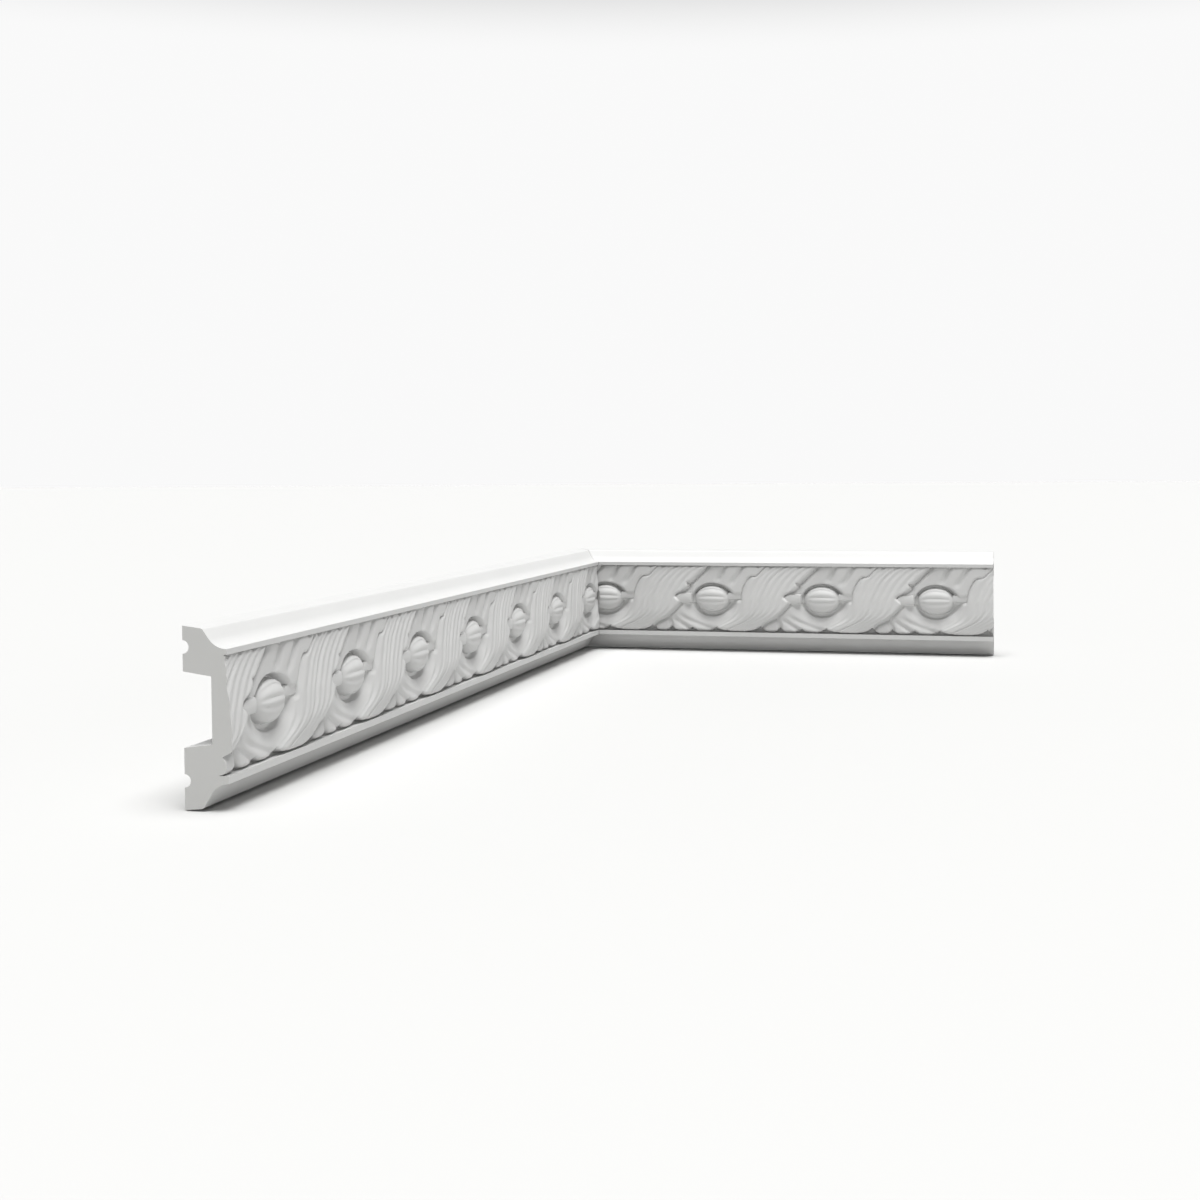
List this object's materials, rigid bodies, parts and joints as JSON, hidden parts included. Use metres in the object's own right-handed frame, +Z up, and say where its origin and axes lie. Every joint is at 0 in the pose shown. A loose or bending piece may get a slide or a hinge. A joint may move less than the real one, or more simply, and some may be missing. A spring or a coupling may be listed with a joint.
{
  "type": "wall moulding",
  "caption": "Cast dado rail with a carved pattern of fluted leaves and ribbed buds, mitred round a room's inside corner, with a cable channel in its back.",
  "frame": {"origin": "the room's inside corner, where the two walls meet, at the moulding's bottom edge", "axes": "+Z up; the right length runs along +X against the wall y = 0; the left length runs along -Y against the wall x = 0; the pattern faces +X on the left length and -Y on the right one"},
  "size_m": [0.372, 0.682, 0.09],
  "materials": {
    "primed_foam": "matte white primer on hard polyurethane foam"
  },
  "bodies": {
    "root": {"left_length": "primed_foam", "right_length": "primed_foam"}
  },
  "joints": []
}
